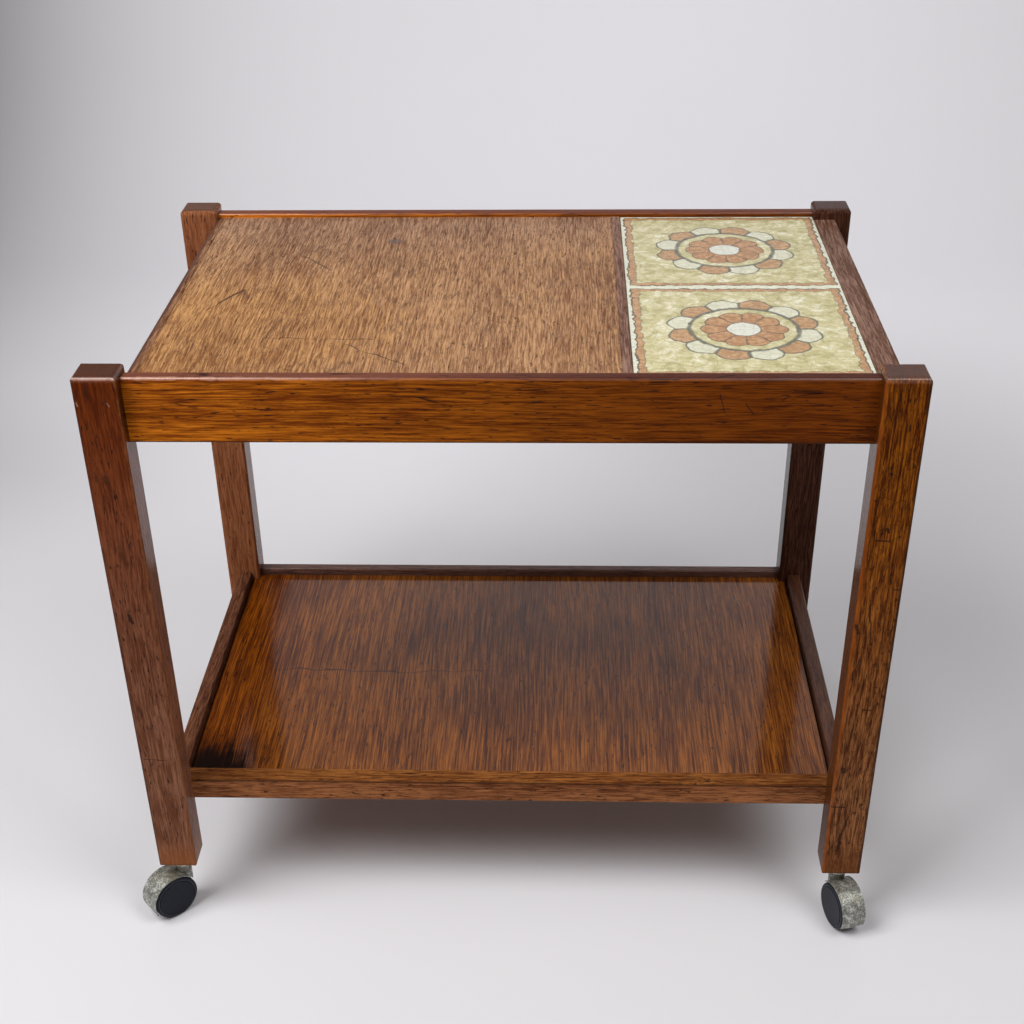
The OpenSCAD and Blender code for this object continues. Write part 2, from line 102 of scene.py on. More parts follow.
# %% Hang the lamps
def softbox(name, place, aim, size, watts):
    """A rectangular lamp at a place, turned towards another."""
    lamp = bpy.data.lights.new(name, "AREA")
    lamp.shape, lamp.size, lamp.size_y, lamp.energy = "RECTANGLE", size[0], size[1], watts
    rig = bpy.data.objects.new(name, lamp)
    rig.location = place
    rig.rotation_euler = (Vector(aim) - Vector(place)).to_track_quat("-Z", "Y").to_euler()
    bpy.context.scene.collection.objects.link(rig)
    return rig


under_the_shelf = (0, 0, 0.1)
softbox("key_softbox", (-1.25, -0.86, 2.2), under_the_shelf, size=(1.4, 1.5), watts=52)
softbox("fill_softbox", (1.12, -0.88, 2.2), under_the_shelf, size=(1.05, 1.5), watts=22)
softbox("backdrop_softbox", (0.3, 0.9, 1.9), (0.3, 2.1, 1.25), size=(2.6, 0.4), watts=25)

# %% [markdown]
# ## Writing a finish as a formula
#
# A finish is a chain of shader nodes. Long chains are hard to read as node calls, so a small
# class wraps a socket, and the usual operators on it add the Math nodes: `1 - mask * 0.4`
# builds two nodes and gives back the last socket.

# %% Wrap a socket
class Value:
    """A number that changes over a surface."""

    def __init__(self, finish, socket):
        self.finish, self.socket = finish, socket

    def math(self, operation, *others):
        return self.finish.node("ShaderNodeMath", {"operation": operation},
                                dict(enumerate((self, *others))))

    def __add__(self, other):
        return self.math("ADD", other)

    def __mul__(self, other):
        return self.math("MULTIPLY", other)

    def __sub__(self, other):
        return self.math("SUBTRACT", other)

    def __rsub__(self, other):
        return self.finish.node("ShaderNodeMath", {"operation": "SUBTRACT"}, {0: other, 1: self})

    def __truediv__(self, other):
        return self.math("DIVIDE", other)

    def __abs__(self):
        return self.math("ABSOLUTE")

    __radd__, __rmul__ = __add__, __mul__


# %% [markdown]
# A second class holds one material. Its `node` method makes every other node from its type,
# its settings and its sockets' values, so no finish has to handle links by itself. What
# stays the same all over a surface is set as a number on the shader when the material is
# made, and `wear` links what changes.

# %% Hold a material
def fill_ramp(ramp, stops):
    """Sets a colour ramp from (position, colour) pairs."""
    while len(ramp.elements) < len(stops):
        ramp.elements.new(1)
    for element, (position, colour) in zip(ramp.elements, stops):
        element.position, element.color = position, (*colour, 1)


class Finish:
    """A material whose nodes are written as formulas."""

    def __init__(self, name, **constants):
        self.material = bpy.data.materials.new(name)
        self.material.use_nodes = True
        self.tree = self.material.node_tree
        self.shader = self.tree.nodes["Principled BSDF"]
        for socket, value in constants.items():
            self.shader.inputs[socket.replace("_", " ")].default_value = value
        self.place = self.node("ShaderNodeTexCoord", out="Object")

    def node(self, kind, settings=None, values=None, out=0):
        """Adds a node: its settings first, then its sockets' values or links."""
        made = self.tree.nodes.new(kind)
        for name, setting in (settings or {}).items():
            if name == "stops":
                fill_ramp(made.color_ramp, setting)
            else:
                setattr(made, name, setting)
        for socket, value in (values or {}).items():
            if isinstance(value, Value):
                self.tree.links.new(value.socket, made.inputs[socket])
            else:
                made.inputs[socket].default_value = value
        return Value(self, made.outputs[out])

    def wear(self, **sockets):
        """Links the shader's sockets that change over the surface."""
        for socket, value in sockets.items():
            self.tree.links.new(value.socket, self.shader.inputs[socket.replace("_", " ")])
        return self.material


# %% [markdown]
# A few short helpers cover what most finishes need. The first ones work on places. A
# vector's three numbers can be taken apart and put together again, and `vector_math` works
# on all three at once, because the operators would turn them into one.

# %% Helpers for places
def split(finish, vector):
    """The three numbers of a vector."""
    return [finish.node("ShaderNodeSeparateXYZ", {}, {0: vector}, out=i) for i in range(3)]


def join(finish, x, y, z):
    """A vector from three numbers."""
    return finish.node("ShaderNodeCombineXYZ", {}, {0: x, 1: y, 2: z})


def vector_math(finish, operation, *vectors, out="Vector"):
    return finish.node("ShaderNodeVectorMath", {"operation": operation},
                       dict(enumerate(vectors)), out=out)


# %% [markdown]
# The others make masks and colours. `ease` is the one soft step that every mask is made
# of. It could be a colour ramp, but a Map Range node takes its two ends as numbers. Colours
# go through `blend`, because a Math node would turn a colour grey.

# %% Helpers for masks and colours
def noise(finish, vector, scale, detail=3, roughness=0.5, distortion=0):
    return finish.node("ShaderNodeTexNoise", {"noise_dimensions": "3D"},
                       {"Vector": vector, "Scale": scale, "Detail": detail,
                        "Roughness": roughness, "Distortion": distortion})


def ease(finish, value, low, high):
    """0 below low, 1 above high, and a smooth rise between them."""
    return finish.node("ShaderNodeMapRange", {"interpolation_type": "SMOOTHSTEP"},
                       {"Value": value, "From Min": low, "From Max": high})


def blend(finish, share, colour_a, colour_b, mode="MIX"):
    """Colour a where share is 0, colour b where it is 1."""
    pair = [c if isinstance(c, Value) else (*c, 1) for c in (colour_a, colour_b)]
    return finish.node("ShaderNodeMix", {"data_type": "RGBA", "blend_type": mode},
                       {0: share, 6: pair[0], 7: pair[1]}, out=2)


def bump(finish, height, depth, strength=1.0):
    return finish.node("ShaderNodeBump", {},
                       {"Height": height, "Distance": depth, "Strength": strength}, out="Normal")


def dress(material, *names):
    """Gives parts of the construction a finish."""
    for name in names:
        for place in parts[name].material_slots:
            place.material = material
    print(material.name, "on", ", ".join(names))


# %% [markdown]
# ## Grain
#
# The frame is an open-pored tropical hardwood, and its grain runs along each board. The
# grain could follow a picture of wood. Here it is noise, stretched along one axis of the
# board. `grain_space` turns the place so that the grain always lies along the third axis,
# with a slow sway in it, because no tree grows quite straight.

# %% Grain that runs along a board
GRAIN_ORDER = {"x": (1, 2, 0), "y": (0, 2, 1), "z": (0, 1, 2)}
SWAYS_PER_METRE, SWAY = (9, 9, 3), (0.016, 0.012)


def grain_space(finish, along, shift):
    """The place in the board with the grain along the third axis, a little wavy."""
    axes = split(finish, finish.place)
    a, b, c = (axes[i] for i in GRAIN_ORDER[along])
    a, b = a + shift, b + shift * 0.7
    slow = vector_math(finish, "MULTIPLY", join(finish, a, b, c), SWAYS_PER_METRE)
    sway = noise(finish, slow, 1, detail=1) - 0.5
    return join(finish, a + sway * SWAY[0], b + sway * SWAY[1], c)


def streaks(finish, space, across, along, detail=3, roughness=0.55):
    """Noise with so many changes to the metre across and along the grain."""
    scaled = vector_math(finish, "MULTIPLY", space, (across, across, along))
    return noise(finish, scaled, 1, detail=detail, roughness=roughness)


print("grain along x reads the axes in the order", GRAIN_ORDER["x"])

# %% [markdown]
# ## Stained and lacquered wood
#
# Four things make the wood read as what it is: slow bands of colour along the board, fine
# fibres, short dark dashes where the stain has gathered in the pores, and a few pores so
# deep that they stay nearly black. All are the same kind of noise, stretched by different
# amounts. The stain also pools in broad patches, and on some boards it turns to another
# colour from one end to the other, with the grain running on through the change.
#
# A stain could be one colour that is made darker and lighter. On real wood its dark parts
# are redder and its light ones greyer, so it gets a ramp of three colours, worked out from
# the middle one.

# %% The stain
STAIN_DARK, STAIN_LIGHT = (0.48, 0.36, 0.26), (1.5, 1.6, 1.6)
PORE_SHADE, PORE_BLACK = (0.42, 0.32, 0.28), (0.012, 0.006, 0.005)


def shades(middle, spread):
    """Dark, middle and light colours of a stain: its dark is redder and its light greyer."""
    return [[c * f ** spread for c, f in zip(middle, factors)]
            for factors in (STAIN_DARK, (1, 1, 1), STAIN_LIGHT)]


def stain(finish, tone, middle, turn, spread):
    """The stain's colour. turn is (axis, start, end, colour): it turns to that colour."""
    def coloured(centre):
        stops = list(zip((0.2, 0.5, 0.8), shades(centre, spread)))
        return finish.node("ShaderNodeValToRGB", {"stops": stops}, {0: tone * 2.4 + 0.5})

    if not turn:
        return coloured(middle)
    axis, start, end, other = turn
    share = ease(finish, split(finish, finish.place)[axis], start, end)
    return blend(finish, share, coloured(middle), coloured(other))


print("a stain darkens to", STAIN_DARK, "and lightens to", STAIN_LIGHT, "of its middle")

# %% [markdown]
# One function makes all the boards, since they differ only in the way that the grain runs,
# in their stain, and in how worn the lacquer is. A node group could do the same, but its
# inputs couldn't be functions, as the marks of use are here. The lacquer's own shine stays
# the same over a board, so it is set as a number, and only its roughness and coat vary.

# %% The wood itself
# changes to the metre across and along the grain
BANDS, FIBRES, DASHES, DEEP_PORES = (26, 1.5), (560, 34), (720, 66), (500, 90)


def wood(name, along, middle, shift, turn=None, spread=1.0, bands=0.3, dashes=0.5, pores=0.8,
         gloss=0.34, level=0.05, polish=None, coat=None, relief=1.0, length=1.0, marks=()):
    """An open-pored hardwood. middle is its stain's colour, spread how far the grain varies
    it, and length how long the fibres are. polish gives four heights, between which the
    lacquer is rubbed bright, and coat a function that says where else it shines."""
    finish = Finish(name, Specular_IOR_Level=level, Coat_Roughness=0.16 if polish else 0.10)
    space = grain_space(finish, along, shift)
    slow = streaks(finish, space, *BANDS, detail=2)
    fibres = streaks(finish, space, FIBRES[0], FIBRES[1] / length, detail=4, roughness=0.7)
    patches = noise(finish, finish.place, 8, detail=2)
    tone = (slow - 0.5) * bands + (fibres - 0.5) * 1.0 + (patches - 0.5) * 0.2
    colour = stain(finish, tone, middle, turn, spread)
    strokes = streaks(finish, space, DASHES[0], DASHES[1] / length, detail=2)
    dash = ease(finish, strokes, 0.49, 0.60)
    pore = ease(finish, streaks(finish, space, *DEEP_PORES, detail=1), 0.64, 0.74)
    colour = blend(finish, dash * dashes, colour, PORE_SHADE, "MULTIPLY")
    colour = blend(finish, pore * pores, colour, PORE_BLACK)
    for mark in marks:
        colour = mark(finish, space, colour)
    shine = coat(finish, space) if coat else None
    if polish:
        height = split(finish, finish.place)[2]
        band = ease(finish, height, *polish[:2]) * (1 - ease(finish, height, *polish[2:]))
        shine = shine.math("MAXIMUM", band) if shine else band
    if shine:
        finish.wear(Coat_Weight=shine)
    return finish.wear(
        Base_Color=colour,
        Roughness=gloss + (patches * 0.1 + dash * 0.08 + pore * 0.2) * relief,
        Normal=bump(finish, fibres * 0.3 - dash * 0.4 - pore, 0.0004, 0.55 * relief))


print("fibres:", FIBRES[0], "to the metre across the grain and", FIBRES[1], "along it")

# %% [markdown]
# ## Marks of use
#
# The trolley is some fifty years old, and its boards aren't alike: there are worn edges,
# checks, scratches and a black stain. Each mark is a function that takes a board's colour
# and gives it back with the mark on it, so a board is dressed by naming its marks. They
# could be painted by hand, but a mark made this way can be moved to another board.
#
# The first kinds cover an area. Worn and dusty lacquer turns an end or an edge towards one
# colour, and the painted sheen, painted shade and painted highlights on some boards are made in
# the same way; a stain is a patch whose ragged rim creeps along the grain.

# %% Wear that covers an area
def tint_along(axis, start, end, tint, most=0.6):
    """The colour turns to tint from start to end along an axis: dusty lacquer at the feet, and
    painted sheen and painted shade elsewhere.
    """
    def put(finish, space, colour):
        share = ease(finish, split(finish, finish.place)[axis], start, end)
        return blend(finish, share * most, colour, tint)
    return put


def edge_mark(edges, width, tint, most=0.9, broken=0.3, until=None):
    """Wear and dirt along the edge where the given coordinates meet, fading out along x; on some
    edges this is a painted highlight instead.
    """
    def put(finish, space, colour):
        axes = split(finish, finish.place)
        squares = sum((axes[i] - at) * (axes[i] - at) for i, at in edges.items())
        uneven = (noise(finish, finish.place, 90, detail=3) - 0.5) * broken * 2
        share = (1 - ease(finish, squares.math("SQRT") / width + uneven, 0.4, 1.0)) * most
        if until:
            share = share * (1 - ease(finish, axes[0], *until))
        return blend(finish, share, colour, tint)
    return put


def spot(finish, space, centre, radii, ragged=0.5):
    """1 inside a soft-edged patch that creeps along the grain, 0 outside."""
    away = vector_math(finish, "SUBTRACT", finish.place, centre)
    away = vector_math(finish, "DIVIDE", away, radii)
    reach = vector_math(finish, "LENGTH", away, out="Value")
    creep = streaks(finish, space, 260, 12, detail=3, roughness=0.65)
    reach = reach + (creep - 0.5) * ragged * 3
    reach = reach + (noise(finish, finish.place, 70, detail=2) - 0.5) * ragged
    return 1 - ease(finish, reach, 0.45, 1.0)


def blot(centre, radii, tint, most=0.9, ragged=0.5, mode="MIX"):
    """A patch of another colour, or with mode MULTIPLY a patch of stain over the grain."""
    def put(finish, space, colour):
        share = spot(finish, space, centre, radii, ragged) * most
        return blend(finish, share, colour, tint, mode)
    return put


# %% [markdown]
# The second kinds are fine. Checks are splits along the grain: the borders between the
# cells of a Voronoi texture, stretched along the board, give a network that is thinned out
# by noise. Pits are the peaks of one more noise.

# %% Splits and dents
NEARLY_BLACK = (0.010, 0.004, 0.003)


def checks(across, along, low, high, tint=NEARLY_BLACK, depth=0.85):
    """Fine dark splits along the grain, in scattered groups."""
    def put(finish, space, colour):
        scaled = vector_math(finish, "MULTIPLY", space, (across, across, along))
        edge = finish.node("ShaderNodeTexVoronoi", {"feature": "DISTANCE_TO_EDGE"},
                           {"Vector": scaled, "Scale": 1}, out="Distance")
        where = ease(finish, noise(finish, finish.place, 26, detail=3), low, high)
        return blend(finish, (1 - ease(finish, edge, 0.0, 0.055)) * where * depth, colour, tint)
    return put


def pits(across, along, low, high, tint=NEARLY_BLACK, depth=0.85):
    """Dark dents and wormy spots, crowded in places."""
    def put(finish, space, colour):
        spots = streaks(finish, space, across, along, detail=2, roughness=0.6)
        crowd = (noise(finish, finish.place, 18, detail=2) - 0.5) * 0.5
        return blend(finish, ease(finish, spots + crowd, low, high) * depth, colour, tint)
    return put


# %% [markdown]
# A scratch is a line from one point to another. Its mask is the distance to the nearest
# point of that line, after the place has been pushed a little to the side by noise, so that
# the line wanders and gets thicker and thinner as a real one does.

# %% Scratches
UP, AWAY = Vector((0, 0, 1)), Vector((0, 1, 0))


def scratch(start, end, width=0.0006, tint=(0.02, 0.008, 0.005), most=0.8, wobble=0.004):
    """A thin line from start to end that wanders a little."""
    start, end = Vector(start), Vector(end)
    run = end - start
    side = run.cross(UP if abs(run.normalized().z) < 0.9 else AWAY).normalized()

    def put(finish, space, colour):
        sway = noise(finish, finish.place, 40, detail=2) - 0.5
        push = join(finish, *(sway * (wobble * c) for c in side))
        moved = vector_math(finish, "ADD", finish.place, push)
        away = vector_math(finish, "SUBTRACT", moved, start)
        along = vector_math(finish, "DOT_PRODUCT", away, run / run.length_squared, out="Value")
        along = along.math("MAXIMUM", 0.0).math("MINIMUM", 1.0)
        foot = join(finish, *(along * c for c in run))
        gap = vector_math(finish, "DISTANCE", away, foot, out="Value")
        thin = width * 0.4 + ease(finish, sway, -0.2, 0.2) * width
        return blend(finish, (1 - ease(finish, gap / thin, 0.6, 1.2)) * most, colour, tint)
    return put


def cracks(plane, ends, **looks):
    """Scratches on one upright face, each given by the x and z of both ends."""
    return [scratch((x0, plane, z0), (x1, plane, z1), **looks) for x0, z0, x1, z1 in ends]


# %% [markdown]
# ## The posts
#
# Each post has its own life behind it. The tops are painted greyer, which is a painted sheen, and
# have a rubbed, bright band round their upper edge, and the faces towards the middle have kept
# their full shine, because no hand rubs them. Those two places get a coat, and the faces in reach
# get none: a coat all over would be simpler, but it would make the old posts look new.

# %% Where a post shines
low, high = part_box("post_front_left")
front, top_z = low.y, high.z
rubbed = [top_z - 0.001 * below for below in (6, 3, 1.6, 0.8)]


def cap(tint):
    """The upper end, turned greyer: a painted sheen."""
    return tint_along(2, top_z - 0.0015, top_z - 0.0004, tint, 0.85)


def inner_shine(x):
    """The coat on the face towards the middle, which lies at x."""
    def shine(finish, space):
        off = abs(split(finish, finish.place)[0] - x)
        return (1 - ease(finish, off, 0.0001, 0.0005)) * 0.55
    return shine


print("post front at", round(front, 4), "top at", round(top_z, 4))

# %% [markdown]
# The left front post is a deep red above and greyer near the floor, which is a painted sheen of
# the pale floor, so its stain turns from one to the other on the way down. It is painted dark
# where the apron meets it, as the shade in that corner, has light rubbed edges and a painted
# highlight along its top front edge, and carries a few chips and cracks. The painted shade could
# be masked face by face. As a patch in space it runs over the edge from face to side by itself.

# %% Stain the left front post
DEEP_RED, FLOOR_SHEEN_GREY, FADED = (0.122, 0.021, 0.001), (0.220, 0.090, 0.050), (0.30, 0.10, 0.03)
CORNER_SHADE, TOP_EDGE_HIGHLIGHT, CHIPPED = (0.010, 0.003, 0.001), (0.55, 0.32, 0.24), (0.42, 0.26, 0.17)
knock = [(-0.3347, 0.364, -0.3325, 0.356)]
chips = [(-0.3473, 0.5731, -0.3462, 0.5705), (-0.3218, 0.5725, -0.3205, 0.5700),
         (-0.3205, 0.5880, -0.3185, 0.5850)]
hairlines = [(-0.3261, 0.108, -0.3279, 0.094), (-0.345, 0.199, -0.318, 0.197)]
left_marks = [
    pits(200, 45, 0.60, 0.74, tint=(0.045, 0.016, 0.008), depth=0.7),
    tint_along(2, 0.11, 0.06, FADED, 0.6),
    # painted shade: dark in the corner where the apron meets the post
    blot((high.x, front + 0.013, 0.563), (0.008, 0.014, 0.045), CORNER_SHADE, 0.95, ragged=0.1),
    edge_mark({0: high.x, 1: front}, 0.0022, FADED, 0.6, broken=0.7),
    # painted highlight: a pale pink line along the top front edge
    edge_mark({1: front, 2: top_z - 0.0016}, 0.0022, TOP_EDGE_HIGHLIGHT, 0.6, broken=0.6),
    edge_mark({0: low.x, 1: front}, 0.003, (0.045, 0.010, 0.002), 0.7),
    *cracks(front, knock, width=0.0014, wobble=0.010),
    *cracks(front, chips, width=0.0008, tint=CHIPPED, most=0.5, wobble=0.012),
    *cracks(front, hairlines),
    cap((0.062, 0.026, 0.016))]
# the stain turns greyer lower down: a painted sheen of the pale floor
left_post = wood("wood_post_left", "z", DEEP_RED, 0.3, turn=(2, 0.62, 0.15, FLOOR_SHEEN_GREY),
                 spread=0.7, dashes=0.2, polish=rubbed, coat=inner_shine(high.x),
                 marks=left_marks)
dress(left_post, "post_front_left")
print("marks on it:", len(left_marks))

# %% [markdown]
# The right front post is golden brown with a strong figure, and duller lower down, which is a
# painted sheen of the floor. It has been knocked the most: groups of checks and pits all the way
# down, and cracks across the grain where it was hit. Its inner face is painted darker, as shade,
# its inner edge is rubbed to orange, and its outer edge is dark. A crack texture would spread its
# cracks evenly. Knocks are few and each has its own place, so every crack is a scratch with two
# ends.

# %% Stain the right front post
GOLDEN_BROWN, FLOOR_SHEEN_BROWN = (0.190, 0.052, 0.002), (0.182, 0.068, 0.024)
low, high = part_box("post_front_right")
hairlines = [(0.3143, 0.446, 0.3354, 0.4445), (0.3415, 0.3957, 0.3502, 0.3962),
             (0.3302, 0.2655, 0.3375, 0.2645), (0.3071, 0.1490, 0.3309, 0.1480),
             (0.3313, 0.1451, 0.3229, 0.0873), (0.3234, 0.380, 0.3292, 0.3375),
             (0.3200, 0.3210, 0.3150, 0.2989)]
gouges = [(0.3290, 0.4570, 0.3310, 0.4535), (0.3505, 0.367, 0.3520, 0.364),
          (0.3150, 0.358, 0.3172, 0.350), (0.3205, 0.196, 0.3220, 0.1925)]
right_marks = [
    checks(210, 70, 0.46, 0.60, depth=0.5),
    pits(240, 110, 0.61, 0.73, depth=0.75),
    tint_along(2, 0.11, 0.07, (0.15, 0.045, 0.012), 0.6),
    # painted shade: the face towards the middle turned darker
    tint_along(0, low.x + 0.0004, low.x + 0.0001, (0.055, 0.014, 0.002), 0.9),
    edge_mark({0: low.x, 1: front}, 0.0040, (0.24, 0.055, 0.005), 0.6, broken=0.5),
    edge_mark({0: high.x, 1: front}, 0.004, (0.035, 0.012, 0.003), 0.8, broken=0.5),
    *cracks(front, hairlines, width=0.0009, wobble=0.008),
    *cracks(front, gouges, width=0.0015, wobble=0.012),
    cap((0.085, 0.052, 0.045))]
# the stain turns duller lower down: a painted sheen of the floor
right_post = wood("wood_post_right", "z", GOLDEN_BROWN, 2.1, turn=(2, 0.50, 0.12, FLOOR_SHEEN_BROWN),
                  spread=1.3, dashes=0.75, polish=rubbed, coat=inner_shine(low.x),
                  marks=right_marks)
dress(right_post, "post_front_right")
print("marks on it:", len(right_marks))

# %% [markdown]
# The back posts are plainer. The left one is evenly brown, with hardly any dashes, and the
# right one is nearly black with age. They could share one wood, but then they would look
# like one board. They share only their checks.

# %% Stain the back posts
EVEN_BROWN, AGED_BLACK = (0.26, 0.092, 0.038), (0.070, 0.026, 0.015)
few_checks = checks(120, 9, 0.60, 0.68)
back_left = wood("wood_post_back_left", "z", EVEN_BROWN, 2.3, spread=0.6, dashes=0.2,
                 coat=inner_shine(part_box("post_back_left")[1].x),
                 marks=(few_checks, cap((0.10, 0.050, 0.035))))
back_right = wood("wood_post_back_right", "z", AGED_BLACK, 3.9,
                  coat=inner_shine(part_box("post_back_right")[0].x),
                  marks=(few_checks, cap((0.085, 0.055, 0.050))))
dress(back_left, "post_back_left")
dress(back_right, "post_back_right")

# %% [markdown]
# ## The aprons
#
# The apron is the board that everyone sees. It has faded to gold at its left end, so its stain
# turns to red-brown towards the right. Its upper face is painted greyer, which is a painted
# sheen, and darker towards the right end, and the rounded edge below that is polished, with a
# painted pale pink highlight along it at the left. The edge could be a face with a material of
# its own. Heights mark it out just as well, and leave the mesh alone. The same finish serves both
# aprons, since they were cut from like boards.

# %% Stain the aprons
GOLD, RED_BROWN = (0.485, 0.132, 0.006), (0.118, 0.025, 0.001)
TOP_SHEEN, EDGE_HIGHLIGHT_PINK = (0.135, 0.044, 0.028), (0.60, 0.34, 0.25)
low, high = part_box("front_apron")
apron_face, apron_top = low.y, high.z
highlight_edge, lower_edge = {1: apron_face, 2: apron_top}, {1: apron_face, 2: low.z}
hairlines = [(-0.166, 0.5515, -0.160, 0.545), (-0.1479, 0.5478, -0.1414, 0.5441),
             (0.1815, 0.5749, 0.186, 0.559), (0.2032, 0.5669, 0.2107, 0.5569)]
apron_marks = [
    # painted sheen: the upper face turned greyer
    tint_along(2, apron_top - 0.0012, apron_top - 0.0003, TOP_SHEEN, 0.9),
    # painted highlight: a pale pink line along the top front edge at the left
    edge_mark(highlight_edge, 0.0028, EDGE_HIGHLIGHT_PINK, 0.5, broken=0.8, until=(-0.30, -0.02)),
    # the painted sheen on the upper face made darker towards the right end
    blot((0.30, apron_face, apron_top), (0.45, 0.02, 0.0015), (0.45, 0.40, 0.40), ragged=0.0,
         mode="MULTIPLY"),
    checks(130, 10, 0.58, 0.68),
    edge_mark(lower_edge, 0.003, (0.050, 0.014, 0.002), 0.8, broken=0.5),
    *cracks(apron_face, hairlines, wobble=0.008)]
apron = wood("wood_apron", "x", GOLD, 3.1, turn=(0, -0.46, 0.22, RED_BROWN),
             bands=0.35, dashes=0.4, spread=1.1, length=1.7,
             polish=[apron_top - 0.001 * below for below in (2.8, 1.6, 0.7, 0.3)],
             marks=apron_marks)
dress(apron, "front_apron", "back_apron")
print("apron top at", round(apron_top, 4), "marks on it:", len(apron_marks))

# %% [markdown]
# ## The rails and lips
#
# The rails lie in the shade and carry hardly any marks. One wood could serve them all, but they
# are not alike, so there are three stains, darkest on the right rail and the back lip. The
# shelf's front lip is where feet and vacuum cleaners knock: it has dents, dirt along its upper
# edge, and a warmer colour on top than on its face.

# %% Stain the rails and lips
dress(wood("wood_rail_left", "y", (0.125, 0.047, 0.024), 4.7),
      "left_cross_rail", "shelf_left_rail")
dress(wood("wood_rail_right", "y", (0.085, 0.030, 0.014), 4.7, level=0.4), "shelf_right_rail")
dress(wood("wood_back_lip", "x", (0.11, 0.050, 0.036), 5.2, level=0.3), "shelf_back_lip")

low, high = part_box("shelf_front_lip")
upper_edge = {1: low.y, 2: high.z - 0.001}
knocks = [(-0.2779, 0.1620, -0.2792, 0.1525), (-0.238, 0.1600, -0.2388, 0.1523)]
lip_marks = [
    checks(150, 16, 0.56, 0.66),
    pits(260, 110, 0.66, 0.76),
    edge_mark(upper_edge, 0.0016, (0.045, 0.016, 0.006), 0.75, broken=0.6),
    *cracks(low.y, knocks, wobble=0.006)]
dress(wood("wood_lip", "x", (0.235, 0.084, 0.030), 5.9, bands=0.5,
           turn=(2, high.z - 0.0012, high.z - 0.0003, (0.220, 0.076, 0.017)),
           marks=lip_marks), "shelf_front_lip")
print("marks on the front lip:", len(lip_marks))

# %% [markdown]
# ## The veneered top
#
# The top's veneer is lighter than the frame, with its grain from front to back. It is
# warmest at the front left and greyer at the back, its lacquer has crazed into fine checks,
# and cups and knives have left a few scratches and one dark spot.
#
# The crazing could be made as relief. It is made as colour, because it is finer than the
# bumps that the eye can tell from here, and what shows is the dirt in it.

# %% Veneer the top
HONEY, GREYER = (0.365, 0.190, 0.088), (0.285, 0.155, 0.095)
SHORT_CHECKS, LONG_CHECKS = (0.09, 0.040, 0.020), (0.10, 0.045, 0.025)
WARMER = (1.08, 1.02, 0.78)
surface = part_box("top_panel")[1].z
top_marks = [
    checks(260, 70, 0.38, 0.60, tint=SHORT_CHECKS, depth=0.6),
    blot((-0.26, -0.10, surface), (0.22, 0.18, 0.1), WARMER, 0.9, mode="MULTIPLY"),
    checks(110, 8, 0.50, 0.62, tint=LONG_CHECKS, depth=0.6),
    scratch((-0.274, -0.053, surface), (-0.2463, -0.0035, surface), width=0.0012, wobble=0.010),
    scratch((-0.2085, 0.0906, surface), (-0.173, 0.0489, surface), wobble=0.010),
    scratch((-0.1357, -0.133, surface), (-0.0797, -0.175, surface), wobble=0.012),
    scratch((-0.21, -0.118, surface), (-0.1134, -0.122, surface), wobble=0.016),
    blot((-0.118, 0.13, surface), (0.010, 0.008, 0.01), (0.10, 0.075, 0.075), 0.7)]
top = wood("veneer_top", "y", HONEY, 7.3, turn=(1, 0.06, 0.24, GREYER), spread=0.8,
           bands=0.2, dashes=0.6, pores=0.6, gloss=0.40, level=0.15, length=1.2,
           marks=top_marks)
dress(top, "top_panel")
print("top at", round(surface, 4), "marks on it:", len(top_marks))

# %% [markdown]
# A narrow strip hides the left end of the top, and a dark strip and a dark rail hold the
# tiles between them. They are solid wood, so they get plain boards of the same `wood`, and
# the narrow strip gets the dirt that hands have left along its outer edge.

# %% Stain the strips and the end rail
outer_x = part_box("edge_strip")[0].x
dirty_edge = edge_mark({0: outer_x, 2: surface}, 0.005, (0.085, 0.035, 0.025), 0.9)
dress(wood("wood_edge_strip", "y", (0.23, 0.110, 0.055), 6.6, dashes=0.4,
           marks=(dirty_edge,)), "edge_strip")
dress(wood("wood_dark_strip", "y", (0.215, 0.118, 0.085), 8.1, dashes=0.4, pores=0.4),
      "divider_strip", "right_end_rail")

# %% [markdown]
# ## The shelf
#
# The shelf has been spared: its veneer is still smooth under a clear coat, which shines towards
# the back. Something wet once stood in its front left corner and left a black stain, and there
# the coat is gone. So the coat isn't a number here but a mask: one minus the stain, and fading
# out at the left end, where the colour turns darker too; together these are a painted reflection
# of the dark back post there.

# %% Veneer the shelf
CHESTNUT, LEFT_END_DARK_REFLECTION = (0.205, 0.060, 0.006), (0.140, 0.033, 0.0015)
DAMP_RIM, BLACK_STAIN = (0.42, 0.36, 0.34), (0.006, 0.002, 0.001)
low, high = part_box("shelf_panel")
corner = (low.x + 0.02, low.y + 0.015, high.z)
stain_radii, rim_radii, stain_ragged = (0.040, 0.040, 0.02), (0.062, 0.066, 0.02), 0.65


def shelf_coat(finish, space):
    """Full away from the stain and the left end."""
    stained = spot(finish, space, corner, stain_radii, stain_ragged)
    # no coat at the left end: with the darker colour there, a painted reflection of the dark back
    # post
    reflects_backdrop = ease(finish, split(finish, finish.place)[0], -0.290, -0.262)
    return (1 - stained) * 0.8 * reflects_backdrop


shelf_marks = [
    blot(corner, rim_radii, DAMP_RIM, 0.9, 0.8, mode="MULTIPLY"),
    blot(corner, stain_radii, BLACK_STAIN, 0.97, stain_ragged),
    scratch((-0.2631, 0.0059, high.z), (-0.1241, 0.0002, high.z), width=0.0011, wobble=0.014),
    scratch((-0.1241, 0.0002, high.z), (-0.02, 0.006, high.z), width=0.0008, wobble=0.014)]
